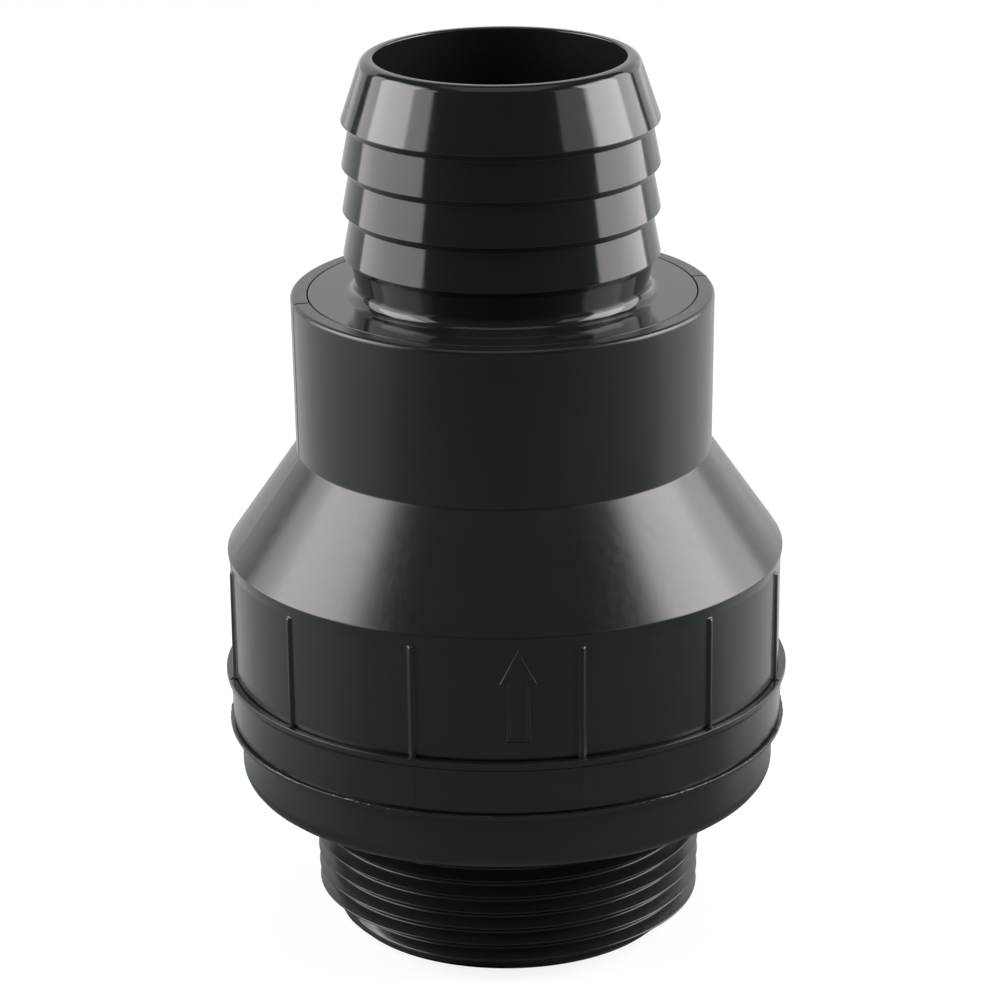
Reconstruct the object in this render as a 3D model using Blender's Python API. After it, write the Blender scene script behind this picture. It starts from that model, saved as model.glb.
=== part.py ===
"""Swing check valve for a sump pump discharge: pipe thread inlet below, hose barb outlet on top.

Metres, +Z up along the flow. The origin is the middle of the threaded inlet's end face.
The flapper is hinged at +Y and the flow arrow's panel is on the -Y side.
"""

import math

import bmesh
import bpy
from mathutils import Matrix, Vector

# Fits between neighbouring pieces
SEAM = 0.0003
PIN_CLEARANCE = 0.00012
SCREW_CLEARANCE = 0.00025

# Hose tail: four barbs for a 38 mm hose over a plug for a 48.3 mm pipe socket
HOSE_BORE_R = 0.0155
BARB_ROOT_R = 0.0187
BARB_LIP_R = 0.0196
BARB_PITCH = 0.0056
BARB_COUNT = 4
BARB_UNDERCUT = 0.0009
TAIL_ABOVE_HUB = 0.0299
TAIL_RIM_R = 0.0170
RIM_EDGE = 0.0012
FIRST_TAPER = 0.0077
NECK_R = 0.0179
NECK_FILLET = 0.0013
PLUG_R = 0.02413
PLUG_DEPTH = 0.0166
PLUG_WALL = 0.0030
PLUG_WEB = 0.0030

# Outlet housing: socket hub, cone shoulder, ribbed body, and a band between a bead and a hem
HUB_R = 0.0263
HUB_FOOT_R = 0.02605
HUB_TOP_Z = 0.0829
HUB_FOOT_Z = 0.0630
HUB_EDGE = 0.0008
BODY_R = 0.03475
BODY_WALL = 0.0041
CHAMBER_R = BODY_R - BODY_WALL
SHOULDER_STEP = 0.00035
SHOULDER_R = BODY_R + SHOULDER_STEP
SHOULDER_Z = 0.0500
SHOULDER_LIP = 0.0010
LIP_EDGE = 0.0006
STEP_SLOPE = 0.0005
BEAD_PROUD = 0.00095
BEAD_R = BODY_R + BEAD_PROUD
BEAD_Z = 0.03415
BEAD_HEIGHT = 0.0007
BEAD_SLOPE = 0.0005
BEAD_EDGE = 0.0002
BAND_PROUD = 0.00045
BAND_R = BODY_R + BAND_PROUD
BAND_FOOT_PROUD = 0.00015
BAND_FOOT_R = BODY_R + BAND_FOOT_PROUD
HEM_PROUD = 0.00065
HEM_R = BODY_R + HEM_PROUD
HEM_Z = 0.02725
HEM_EDGE = 0.0002
THROAT_R = 0.0218
HOUSING_WALL = 0.0032

# Ribs run down the body; the panels at the front and the back are the wide ones
RIB_WIDTH = 0.0009
RIB_ANGLES = (17.0, 47.0, 77.0)
RIB_STAND_OUT = 0.00042

# Inlet housing: flange, tongue, seat and tapered pipe thread, cut as rings
JOINT_Z = 0.0265
FLANGE_INSET = 0.0008
FLANGE_R = BODY_R - FLANGE_INSET
FLANGE_FOOT_Z = 0.0190
FLANGE_EDGE = 0.0024
TONGUE_WALL = 0.0030
TONGUE_STEP = 0.0007
TONGUE_TOP_Z = 0.0300
DECK_Z = 0.0225
PIPE_THREAD_R = 0.0249
PIPE_TAPER = 1 / 32
NIPPLE_END_R = 0.0207
NIPPLE_CHAMFER = 0.0024
THREAD_PITCH = 0.00218
THREAD_DEPTH = 0.0013
THREAD_FLAT = 0.0005
THREAD_GROOVES = 7
THREAD_FIRST_Z = 0.0040
INLET_BORE_R = 0.0188
PORT_INSET = 0.01415
PORT_R = CHAMBER_R - PORT_INSET
PORT_CONE_FOOT_Z = 0.0145
PORT_CONE_TOP_Z = 0.0180
SEAT_Z = 0.0255
SEAT_LIP_WIDTH = 0.0020
SEAT_EDGE = 0.0004
SEAT_DRAFT = 0.0006

# Hinge of the flapper
PIVOT_INSET = 0.00765
PIVOT_Y = CHAMBER_R - PIVOT_INSET
PIVOT_Z = 0.0320
PIN_R = 0.00125
PIN_OVERHANG = 0.0021
LUG_INNER_X = 0.0070
LUG_THICK = 0.0030
LUG_R = 0.0031
LUG_FRONT_GAP = 0.0001
CLIP_R = 0.0027
CLIP_THICK = 0.0007

# Flapper: rubber disc clamped between a washer and a moulded arm, with a ballast disc on top
SEAL_OVERLAP = 0.0035
SEAL_R = PORT_R + SEAL_OVERLAP
SEAL_THICK = 0.0030
SEAL_EDGE = 0.0008
DISC_EDGE = 0.0004
ARM_DISC_INSET = 0.0025
ARM_DISC_R = SEAL_R - ARM_DISC_INSET
ARM_DISC_THICK = 0.0020
ARM_WIDTH = 0.0110
ARM_THICK = 0.0032
EYE_R = 0.0031
HEEL_WIDTH = 0.0056
HEEL_THICK = 0.0028
HEEL_LENGTH = 0.0090
OPEN_ANGLE = 65.0
BALLAST_INSET = 0.0060
BALLAST_R = ARM_DISC_R - BALLAST_INSET
BALLAST_THICK = 0.0040
WASHER_R = 0.0095
WASHER_THICK = 0.0012
SCREW_R = 0.0024
SCREW_HEAD_R = 0.0046
SCREW_HEAD_THICK = 0.0027
SCREW_HEAD_EDGE = 0.0009
SOCKET_ACROSS = 0.0030
SOCKET_DEPTH = 0.0014
SPRING_WASHER_R = 0.0043
SPRING_WASHER_THICK = 0.0011
NUT_ACROSS = 0.0080
NUT_THICK = 0.0040
SCREW_STANDS_PAST_NUT = 0.0010

# Facets
HOUSING_SEGMENTS = 60
TAIL_SEGMENTS = 52
DISC_SEGMENTS = 36
SMALL_SEGMENTS = 24
PIN_SEGMENTS = 16
ARC_STEPS = 2


def clear_scene():
    for obj in list(bpy.data.objects):
        bpy.data.objects.remove(obj, do_unlink=True)


def material(name, colour, roughness, metallic=0.0):
    made = bpy.data.materials.new(name)
    made.use_nodes = True
    shader = made.node_tree.nodes["Principled BSDF"]
    shader.inputs["Base Color"].default_value = (*colour, 1.0)
    shader.inputs["Roughness"].default_value = roughness
    shader.inputs["Metallic"].default_value = metallic
    made.diffuse_color = (*colour, 1.0)
    return made


def rounded(corners, steps=ARC_STEPS):
    """Closed outline from (radius, height, fillet) corners, each fillet drawn as an arc."""
    outline = []
    count = len(corners)
    for index, (r, z, fillet) in enumerate(corners):
        here = Vector((r, z))
        if fillet == 0:
            outline.append(here)
            continue
        before = (Vector(corners[index - 1][:2]) - here).normalized()
        after = (Vector(corners[(index + 1) % count][:2]) - here).normalized()
        half = before.angle(after) / 2
        centre = here + (before + after).normalized() * fillet / math.sin(half)
        start = here + before * fillet / math.tan(half) - centre
        end = here + after * fillet / math.tan(half) - centre
        sweep = start.angle_signed(end)
        for step in range(steps + 1):
            turn = Matrix.Rotation(-sweep * step / steps, 2)
            outline.append(centre + turn @ start)
    return outline


def new_object(name, mesh, finish, parent=None):
    obj = bpy.data.objects.new(name, mesh)
    bpy.context.scene.collection.objects.link(obj)
    if finish:
        mesh.materials.append(finish)
    if parent:
        obj.parent = parent
        obj.matrix_parent_inverse = parent.matrix_world.inverted()
    return obj


def turned(name, outline, finish, segments=HOUSING_SEGMENTS, parent=None):
    """A closed outline in radius and height, turned about Z by a Screw modifier."""
    mesh = bpy.data.meshes.new(name)
    count = len(outline)
    edges = [(index, (index + 1) % count) for index in range(count)]
    mesh.from_pydata([(r, 0, z) for r, z in outline], edges, [])
    obj = new_object(name, mesh, finish, parent)
    screw = obj.modifiers.new("turn", "SCREW")
    screw.steps = segments
    screw.render_steps = segments
    screw.use_merge_vertices = True
    screw.merge_threshold = 0.000002
    return obj


def solid_turned(name, outline, finish, segments=SMALL_SEGMENTS, parent=None):
    """A solid of revolution whose outline starts and ends on the axis."""
    obj = turned(name, outline, finish, segments, parent)
    mesh = bmesh.new()
    mesh.from_mesh(obj.data)
    on_axis = [edge for edge in mesh.edges if all(v.co.x < 0.000001 for v in edge.verts)]
    bmesh.ops.delete(mesh, geom=on_axis, context="EDGES")
    mesh.to_mesh(obj.data)
    mesh.free()
    return obj


def prism(name, outline, low_x, high_x, finish=None, parent=None):
    """An outline in Y and Z, extruded along X."""
    mesh = bmesh.new()
    face = mesh.faces.new([mesh.verts.new((low_x, y, z)) for y, z in outline])
    extruded = bmesh.ops.extrude_face_region(mesh, geom=[face])["geom"]
    moved = [item for item in extruded if isinstance(item, bmesh.types.BMVert)]
    bmesh.ops.translate(mesh, verts=moved, vec=(high_x - low_x, 0, 0))
    bmesh.ops.recalc_face_normals(mesh, faces=mesh.faces)
    data = bpy.data.meshes.new(name)
    mesh.to_mesh(data)
    mesh.free()
    return new_object(name, data, finish, parent)


def rod(name, radius, start, end, segments, finish=None, parent=None):
    """A cylinder between two points."""
    start = Vector(start)
    end = Vector(end)
    mesh = bmesh.new()
    bmesh.ops.create_cone(
        mesh,
        cap_ends=True,
        segments=segments,
        radius1=radius,
        radius2=radius,
        depth=(end - start).length,
    )
    turn = (end - start).to_track_quat("Z", "Y").to_matrix().to_4x4()
    bmesh.ops.transform(mesh, matrix=Matrix.Translation((start + end) / 2) @ turn, verts=mesh.verts)
    data = bpy.data.meshes.new(name)
    mesh.to_mesh(data)
    mesh.free()
    return new_object(name, data, finish, parent)


def combine(obj, other, operation):
    """Boolean of obj with a helper, which stays in the scene as a hidden guide."""
    other.hide_render = True
    other.display_type = "WIRE"
    change = obj.modifiers.new(other.name, "BOOLEAN")
    change.operation = operation
    change.solver = "EXACT"
    change.object = other


def settle(obj, sharp_degrees=30.0):
    """Applies the modifiers and shades the curved faces smooth."""
    graph = bpy.context.evaluated_depsgraph_get()
    mesh = bpy.data.meshes.new_from_object(obj.evaluated_get(graph))
    obj.modifiers.clear()
    obj.data = mesh
    mesh.shade_smooth()
    mesh.set_sharp_from_angle(angle=math.radians(sharp_degrees))
    return obj


def ring_outline(inner, outer, low, high, edge=0.0):
    """Section of a washer: its outer side first, from the top down."""
    return rounded([(outer, high, edge), (outer, low, edge), (inner, low, 0), (inner, high, 0)], 1)


def nipple_radius(height):
    """Crest radius of the tapered pipe thread, which is full size at the flange."""
    return PIPE_THREAD_R - (FLANGE_FOOT_Z - height) * PIPE_TAPER


def thread_rings():
    """Outline corners of the thread, a V groove for each turn, from the flange down."""
    half = (THREAD_PITCH - THREAD_FLAT) / 2
    corners = []
    for turn in reversed(range(THREAD_GROOVES)):
        middle = THREAD_FIRST_Z + turn * THREAD_PITCH
        corners.append((nipple_radius(middle + half), middle + half, 0))
        corners.append((nipple_radius(middle) - THREAD_DEPTH, middle, 0))
        corners.append((nipple_radius(middle - half), middle - half, 0))
    return corners


def make_hose_tail(finish):
    rim_z = HUB_TOP_Z + TAIL_ABOVE_HUB
    plug_inner = PLUG_R - PLUG_WALL
    corners = [(HOSE_BORE_R, rim_z, 0), (TAIL_RIM_R, rim_z, RIM_EDGE)]
    lip_z = rim_z - FIRST_TAPER
    for barb in range(BARB_COUNT):
        corners.append((BARB_LIP_R, lip_z - barb * BARB_PITCH, 0))
        corners.append((BARB_ROOT_R, lip_z - barb * BARB_PITCH - BARB_UNDERCUT, 0))
    corners += [
        (NECK_R, HUB_TOP_Z, NECK_FILLET),
        (PLUG_R, HUB_TOP_Z, 0),
        (PLUG_R, HUB_TOP_Z - PLUG_DEPTH, 0),
        (plug_inner, HUB_TOP_Z - PLUG_DEPTH, 0),
        (plug_inner, HUB_TOP_Z - PLUG_WEB - (plug_inner - HOSE_BORE_R), 0),
        (HOSE_BORE_R, HUB_TOP_Z - PLUG_WEB, 0),
    ]
    return settle(turned("hose_tail", rounded(corners), finish, TAIL_SEGMENTS))


def make_rib_guide():
    """Twelve thin ribs as one guide: each is a blade from inside the body's wall, between lip and bead."""
    top_z = SHOULDER_Z - SHOULDER_LIP - STEP_SLOPE
    foot_z = BEAD_Z - BEAD_HEIGHT / 2
    root_r = (CHAMBER_R + BODY_R) / 2
    rib_r = BODY_R + RIB_STAND_OUT
    section = [(root_r, top_z), (rib_r, top_z), (rib_r, foot_z), (root_r, foot_z)]
    ribs = bmesh.new()
    for side in (-90.0, 90.0):
        for angle in RIB_ANGLES:
            for sign in (-1, 1):
                turn = Matrix.Rotation(math.radians(side + sign * angle), 4, "Z")
                corners = [(r, -RIB_WIDTH / 2, z) for r, z in section]
                face = ribs.faces.new([ribs.verts.new(turn @ Vector(c)) for c in corners])
                grown = bmesh.ops.extrude_face_region(ribs, geom=[face])["geom"]
                verts = [item for item in grown if isinstance(item, bmesh.types.BMVert)]
                along = turn @ Vector((0, RIB_WIDTH, 0))
                bmesh.ops.translate(ribs, verts=verts, vec=along)
    bmesh.ops.recalc_face_normals(ribs, faces=ribs.faces)
    data = bpy.data.meshes.new("rib_guide")
    ribs.to_mesh(data)
    ribs.free()
    return new_object("rib_guide", data, None)


def make_outlet_housing(finish):
    socket_r = PLUG_R + SEAM
    socket_floor = HUB_TOP_Z - PLUG_DEPTH - SEAM
    bell_r = CHAMBER_R + TONGUE_STEP + SEAM
    bell_top = TONGUE_TOP_Z + SEAM
    slope = (SHOULDER_R - HUB_FOOT_R) / (HUB_FOOT_Z - SHOULDER_Z)
    wall_drop = HOUSING_WALL * math.sqrt(1 + slope * slope) / slope
    cone_foot_z = SHOULDER_Z - wall_drop + (SHOULDER_R - CHAMBER_R) / slope
    cone_top_z = SHOULDER_Z - wall_drop + (SHOULDER_R - THROAT_R) / slope
    corners = [
        (socket_r, HUB_TOP_Z, 0),
        (HUB_R, HUB_TOP_Z, HUB_EDGE),
        (HUB_FOOT_R, HUB_FOOT_Z, 0),
        (SHOULDER_R, SHOULDER_Z, LIP_EDGE),
        (SHOULDER_R, SHOULDER_Z - SHOULDER_LIP, 0),
        (BODY_R, SHOULDER_Z - SHOULDER_LIP - STEP_SLOPE, 0),
        (BODY_R, BEAD_Z, 0),
        (BEAD_R, BEAD_Z, BEAD_EDGE),
        (BEAD_R, BEAD_Z - BEAD_HEIGHT, 0),
        (BAND_R, BEAD_Z - BEAD_HEIGHT - BEAD_SLOPE, 0),
        (BAND_FOOT_R, HEM_Z, 0),
        (HEM_R, HEM_Z, HEM_EDGE),
        (HEM_R, JOINT_Z + SEAM / 2, HEM_EDGE),
        (bell_r, JOINT_Z + SEAM / 2, 0),
        (bell_r, bell_top, 0),
        (CHAMBER_R, bell_top, 0),
        (CHAMBER_R, cone_foot_z, 0),
        (THROAT_R, cone_top_z, 0),
        (THROAT_R, socket_floor, 0),
        (socket_r, socket_floor, 0),
    ]
    housing = turned("outlet_housing", rounded(corners), finish)
    combine(housing, make_rib_guide(), "UNION")
    return settle(housing)


def lug_outline():
    """Side view of a hinge lug, in Y and Z: a foot in the deck and a round head at the pin."""
    front = PIVOT_Y - LUG_R - LUG_FRONT_GAP
    back = CHAMBER_R - TONGUE_WALL / 2
    foot = (DECK_Z + FLANGE_FOOT_Z) / 2
    outline = [(back, foot), (front, foot), (front, PIVOT_Z)]
    for step in range(1, 9):
        angle = math.pi - math.pi * step / 9
        outline.append((PIVOT_Y + LUG_R * math.cos(angle), PIVOT_Z + LUG_R * math.sin(angle)))
    outline.append((PIVOT_Y + LUG_R, PIVOT_Z))
    outline.append((back, TONGUE_TOP_Z - SEAM))
    return outline


def make_inlet_housing(finish):
    tongue_r = CHAMBER_R + TONGUE_STEP
    tongue_in = tongue_r - TONGUE_WALL
    chamfer_r = nipple_radius(NIPPLE_CHAMFER)
    corners = [
        (tongue_in, TONGUE_TOP_Z, 0),
        (tongue_r, TONGUE_TOP_Z, 0),
        (tongue_r, JOINT_Z - SEAM / 2, 0),
        (FLANGE_R, JOINT_Z - SEAM / 2, 0),
        (FLANGE_R, FLANGE_FOOT_Z, FLANGE_EDGE),
        (PIPE_THREAD_R, FLANGE_FOOT_Z, 0),
        *thread_rings(),
        (chamfer_r, NIPPLE_CHAMFER, 0),
        (NIPPLE_END_R, 0, 0),
        (INLET_BORE_R, 0, 0),
        (INLET_BORE_R, PORT_CONE_FOOT_Z, 0),
        (PORT_R, PORT_CONE_TOP_Z, 0),
        (PORT_R, SEAT_Z, 0),
        (PORT_R + SEAT_LIP_WIDTH, SEAT_Z, SEAT_EDGE),
        (PORT_R + SEAT_LIP_WIDTH + SEAT_DRAFT, DECK_Z, 0),
        (tongue_in, DECK_Z, 0),
    ]
    housing = turned("inlet_housing", rounded(corners), finish)
    outer_x = LUG_INNER_X + LUG_THICK
    for side, low, high in (("left", -outer_x, -LUG_INNER_X), ("right", LUG_INNER_X, outer_x)):
        combine(housing, prism("lug_guide_" + side, lug_outline(), low, high), "UNION")
    bore = rod(
        "pin_bore_guide",
        PIN_R + PIN_CLEARANCE,
        (-outer_x - SEAM, PIVOT_Y, PIVOT_Z),
        (outer_x + SEAM, PIVOT_Y, PIVOT_Z),
        PIN_SEGMENTS,
    )
    combine(housing, bore, "DIFFERENCE")
    return settle(housing)


def make_hinge_pin(finish):
    half = LUG_INNER_X + LUG_THICK + PIN_OVERHANG
    ends = (-half, PIVOT_Y, PIVOT_Z), (half, PIVOT_Y, PIVOT_Z)
    return settle(rod("hinge_pin", PIN_R, *ends, PIN_SEGMENTS, finish))


def make_pin_clip(name, side, finish):
    """Push-on retaining washer at one end of the hinge pin."""
    near = LUG_INNER_X + LUG_THICK + SEAM
    outline = ring_outline(PIN_R + PIN_CLEARANCE, CLIP_R, near, near + CLIP_THICK)
    clip = turned(name, outline, finish, PIN_SEGMENTS)
    clip.rotation_euler = (0, math.radians(90 * side), 0)
    clip.location = (0, PIVOT_Y, PIVOT_Z)
    return settle(clip)


def stack_heights():
    """Heights of the clamped stack, from the seat up, as name to (low, high)."""
    heights = {}
    seal_low = SEAT_Z + SEAM
    level = seal_low
    for name, thick in (
        ("seal", SEAL_THICK),
        ("arm", ARM_DISC_THICK),
        ("ballast", BALLAST_THICK),
        ("spring_washer", SPRING_WASHER_THICK),
        ("nut", NUT_THICK),
    ):
        heights[name] = (level, level + thick)
        level += thick + SEAM
    washer_top = seal_low - SEAM
    heights["washer"] = (washer_top - WASHER_THICK, washer_top)
    head_top = washer_top - WASHER_THICK - SEAM
    heights["head"] = (head_top - SCREW_HEAD_THICK, head_top)
    return heights


def heel_outline():
    """Stop on the arm's eye, in Y and Z: its corner meets the chamber wall at OPEN_ANGLE."""
    wall_y = math.sqrt(CHAMBER_R**2 - (HEEL_WIDTH / 2) ** 2)
    corner_r = math.hypot(HEEL_LENGTH, HEEL_THICK / 2)
    at_wall = math.acos((wall_y - SEAM - PIVOT_Y) / corner_r)
    corner_lag = math.atan(HEEL_THICK / 2 / HEEL_LENGTH)
    lean = math.radians(OPEN_ANGLE) + at_wall + corner_lag
    foot = Vector((PIVOT_Y, PIVOT_Z))
    tip = foot + Vector((math.cos(lean), math.sin(lean))) * HEEL_LENGTH
    across = Vector((-math.sin(lean), math.cos(lean))) * HEEL_THICK / 2
    return [foot - across, tip - across, tip + across, foot + across]


def make_flapper_arm(finish, heights, parent):
    low, high = heights["arm"]
    hole = SCREW_R + SCREW_CLEARANCE
    outline = ring_outline(hole, ARM_DISC_R, low, high, DISC_EDGE)
    arm = turned("flapper_arm", outline, finish, DISC_SEGMENTS, parent)
    bar_top = low + ARM_THICK
    start = BALLAST_R + SEAM
    bar = [
        (start, low),
        (PIVOT_Y, low),
        (PIVOT_Y, PIVOT_Z),
        (PIVOT_Y - EYE_R / 2, bar_top),
        (start, bar_top),
    ]
    combine(arm, prism("arm_bar_guide", bar, -ARM_WIDTH / 2, ARM_WIDTH / 2), "UNION")
    eye_x = LUG_INNER_X - SEAM
    eye_ends = (-eye_x, PIVOT_Y, PIVOT_Z), (eye_x, PIVOT_Y, PIVOT_Z)
    combine(arm, rod("eye_guide", EYE_R, *eye_ends, SMALL_SEGMENTS), "UNION")
    combine(arm, prism("heel_guide", heel_outline(), -HEEL_WIDTH / 2, HEEL_WIDTH / 2), "UNION")
    bore_ends = (-eye_x - SEAM, PIVOT_Y, PIVOT_Z), (eye_x + SEAM, PIVOT_Y, PIVOT_Z)
    combine(arm, rod("eye_bore_guide", PIN_R + PIN_CLEARANCE, *bore_ends, PIN_SEGMENTS), "DIFFERENCE")
    return settle(arm)


def make_seal_disc(finish, heights, parent):
    low, high = heights["seal"]
    outline = ring_outline(SCREW_R + SCREW_CLEARANCE, SEAL_R, low, high, SEAL_EDGE)
    return settle(turned("seal_disc", outline, finish, DISC_SEGMENTS, parent))


def make_ballast_disc(finish, heights, parent):
    low, high = heights["ballast"]
    outline = ring_outline(SCREW_R + SCREW_CLEARANCE, BALLAST_R, low, high, DISC_EDGE)
    return settle(turned("ballast_disc", outline, finish, DISC_SEGMENTS, parent))


def make_clamp_washer(finish, heights, parent):
    low, high = heights["washer"]
    outline = ring_outline(SCREW_R + SCREW_CLEARANCE, WASHER_R, low, high, DISC_EDGE)
    return settle(turned("clamp_washer", outline, finish, DISC_SEGMENTS, parent))


def make_clamp_screw(finish, heights, parent):
    head_low, head_high = heights["head"]
    tip = heights["nut"][1] + SCREW_STANDS_PAST_NUT
    corners = [
        (0, tip, 0),
        (SCREW_R, tip, DISC_EDGE),
        (SCREW_R, head_high, 0),
        (SCREW_HEAD_R, head_high, 0),
        (SCREW_HEAD_R, head_low, SCREW_HEAD_EDGE),
        (0, head_low, 0),
    ]
    screw = solid_turned("clamp_screw", rounded(corners), finish, SMALL_SEGMENTS, parent)
    hexagon = SOCKET_ACROSS / math.sqrt(3)
    ends = (0, 0, head_low - SEAM), (0, 0, head_low + SOCKET_DEPTH)
    combine(screw, rod("socket_guide", hexagon, *ends, 6), "DIFFERENCE")
    return settle(screw)


def make_spring_washer(finish, heights, parent):
    """Split lock washer under the nut."""
    low, high = heights["spring_washer"]
    outline = ring_outline(SCREW_R + SCREW_CLEARANCE, SPRING_WASHER_R, low, high)
    washer = turned("spring_washer", outline, finish, SMALL_SEGMENTS, parent)
    reach = SPRING_WASHER_R + SEAM
    slit = [(0, low - SEAM), (reach, low - SEAM), (reach, high + SEAM), (0, high + SEAM)]
    combine(washer, prism("slit_guide", slit, -SEAM, SEAM), "DIFFERENCE")
    return settle(washer)


def make_lock_nut(finish, heights, parent):
    low, high = heights["nut"]
    nut = rod("lock_nut", NUT_ACROSS / math.sqrt(3), (0, 0, low), (0, 0, high), 6, finish, parent)
    bore_ends = (0, 0, low - SEAM), (0, 0, high + SEAM)
    bore = rod("nut_bore_guide", SCREW_R + SCREW_CLEARANCE, *bore_ends, SMALL_SEGMENTS)
    combine(nut, bore, "DIFFERENCE")
    return settle(nut)


def build():
    clear_scene()
    black_plastic = material("black_abs", (0.018, 0.020, 0.021), 0.28)
    rubber = material("black_rubber", (0.012, 0.012, 0.012), 0.75)
    arm_plastic = material("white_acetal", (0.72, 0.72, 0.69), 0.4)
    steel = material("stainless_steel", (0.62, 0.61, 0.59), 0.3, 1.0)
    brass = material("brass", (0.70, 0.52, 0.22), 0.35, 1.0)

    make_outlet_housing(black_plastic)
    make_hose_tail(black_plastic)
    make_inlet_housing(black_plastic)
    make_hinge_pin(steel)
    make_pin_clip("pin_clip_left", -1, steel)
    make_pin_clip("pin_clip_right", 1, steel)

    hinge = bpy.data.objects.new("flapper_hinge", None)
    hinge.location = (0, PIVOT_Y, PIVOT_Z)
    bpy.context.scene.collection.objects.link(hinge)
    bpy.context.view_layer.update()
    heights = stack_heights()
    make_flapper_arm(arm_plastic, heights, hinge)
    make_seal_disc(rubber, heights, hinge)
    make_ballast_disc(brass, heights, hinge)
    make_clamp_washer(steel, heights, hinge)
    make_clamp_screw(steel, heights, hinge)
    make_spring_washer(steel, heights, hinge)
    make_lock_nut(steel, heights, hinge)


build()
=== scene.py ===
"""Looks of the sump pump check valve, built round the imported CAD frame.

Lengths below are millimetres. Azimuth runs from -Y towards +X, in degrees.
"""

import math

import bmesh
import bpy
import numpy as np
from mathutils import Matrix, Quaternion, Vector, noise


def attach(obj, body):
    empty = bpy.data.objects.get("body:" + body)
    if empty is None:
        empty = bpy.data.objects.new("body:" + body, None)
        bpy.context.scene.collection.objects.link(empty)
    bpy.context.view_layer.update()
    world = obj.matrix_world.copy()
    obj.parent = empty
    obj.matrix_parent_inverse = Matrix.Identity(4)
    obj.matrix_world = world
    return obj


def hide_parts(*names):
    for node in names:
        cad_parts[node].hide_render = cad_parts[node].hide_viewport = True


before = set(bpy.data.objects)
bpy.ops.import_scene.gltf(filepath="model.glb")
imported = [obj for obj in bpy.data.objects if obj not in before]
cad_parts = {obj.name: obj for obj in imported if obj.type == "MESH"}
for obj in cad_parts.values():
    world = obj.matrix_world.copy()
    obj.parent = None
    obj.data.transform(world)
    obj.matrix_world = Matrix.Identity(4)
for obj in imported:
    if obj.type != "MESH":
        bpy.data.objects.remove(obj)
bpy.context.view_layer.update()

MM = 0.001
SEAM = 0.3

# Mesh detail
CLOSEST_AZIMUTHS = 0.04
FILLET_STEPS = 6

# Hose tail
HOSE_BORE_R = 15.5
BARB_ROOT_R = 18.7
BARB_LIP_R = 19.6
BARB_PITCH = 5.6
BARB_COUNT = 4
BARB_UNDERCUT = 0.9
RIM_Z = 112.5
RIM_R = 17.0
RIM_EDGE = 1.2
FIRST_TAPER = 7.7
NECK_R = 17.9
NECK_FILLET = 1.3
PLUG_R = 24.13
PLUG_DEPTH = 16.6
PLUG_WALL = 3.0
PLUG_WEB = 3.0

# Outlet housing
HUB_R = 26.3
HUB_FOOT_R = 26.05
HUB_TOP_Z = 82.9
HUB_FOOT_Z = 63.0
HUB_EDGE = 0.5
HUB_JOINT_GAP = 0.14
SHOULDER_R = 35.1
SHOULDER_Z = 50.0
SHOULDER_LIP = 1.0
BODY_R = 34.75
BODY_TOP_Z = 48.5
BEAD_R = 35.7
BEAD_Z = 34.15
BEAD_LOW_Z = 33.45
BAND_R = 35.2
BAND_TOP_Z = 32.95
BAND_FOOT_R = 34.9
HEM_R = 35.4
HEM_Z = 27.25
CREVICE_HEIGHT = 0.2
CREVICE_DEPTH = 0.25
CHAMBER_R = 30.65
THROAT_R = 21.8
CONE_FOOT_Z = 50.79
CONE_TOP_Z = 63.5

# Inlet housing
JOINT_Z = 26.5
FLANGE_R = 33.95
FLANGE_FOOT_Z = 19.0
FLANGE_EDGE = 2.4
TONGUE_R = 31.35
TONGUE_WALL = 3.0
TONGUE_TOP_Z = 30.0
DECK_Z = 22.5
INLET_BORE_R = 18.8
PORT_R = 16.5
PORT_CONE_FOOT_Z = 14.5
PORT_CONE_TOP_Z = 18.0
SEAT_Z = 25.5
SEAT_LIP = 2.0

# Pipe thread on a taper of 1 in 16
PIPE_R = 24.9
PIPE_TAPER = 1 / 32
THREAD_PITCH = 2.18
THREAD_DEPTH = 1.45
THREAD_CREST_Z = 2.9
THREAD_START_ANGLE = 2.0
THREAD_FIRST_TURN = (-1.52, -1.40)
THREAD_FIRST_ANGLES = (280.0, 350.0)
THREAD_FULL_TURN = (-0.52, -0.40)
THREAD_FADE_LOW = 15.8
THREAD_FADE_HIGH = 17.8
END_R = 20.7
LEAD_R = 21.9
LEAD_CHAMFER = 1.1

# Ribs and marks of the body, as azimuths either side of -Y and +Y
RIB_ANGLES = (17.0, 47.0, 77.0)
RIB_PROUD = 0.42
RIB_HALF_ANGLE = 0.95
RIB_CREST_HALF_ANGLE = 0.12
NOTCH_Z = (28.3, 28.9)
NOTCH_HALF_ANGLES = (0.25, 0.5)
NOTCH_DEPTH = 0.3
STRIPE_FOOT_Z = (27.6, 28.4)
STRIPE_TOP_Z = (31.8, 32.6)
STRIPE_PROUD = 0.07
PARTING_ANGLES = (104.0, 284.0)
PARTING_HALF_ANGLE = 0.3
PARTING_PROUD = 0.05

# Flow arrow, as azimuths and heights, and its raised line
ARROW_AZIMUTH = 4.3
ARROW_HEAD_HALF = 3.2
ARROW_SHAFT_HALF = 1.95
ARROW_TIP_Z = 48.1
ARROW_HEAD_Z = 44.3
ARROW_FOOT_Z = 36.9
LINE_HALF_BASE = 0.30
LINE_HALF_TOP = 0.10
LINE_PROUD = 0.14
LINE_SINK = 0.3
LINE_STEP = 0.6

# Weld flash
FLASH_STEPS = 900
FLASH_SIDES = 8
FLASH_INSET = 0.12
FLASH_DROP = 0.12
FLASH_SIZE = 0.11
FLASH_SIZES = (0.04, 0.25)

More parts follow.
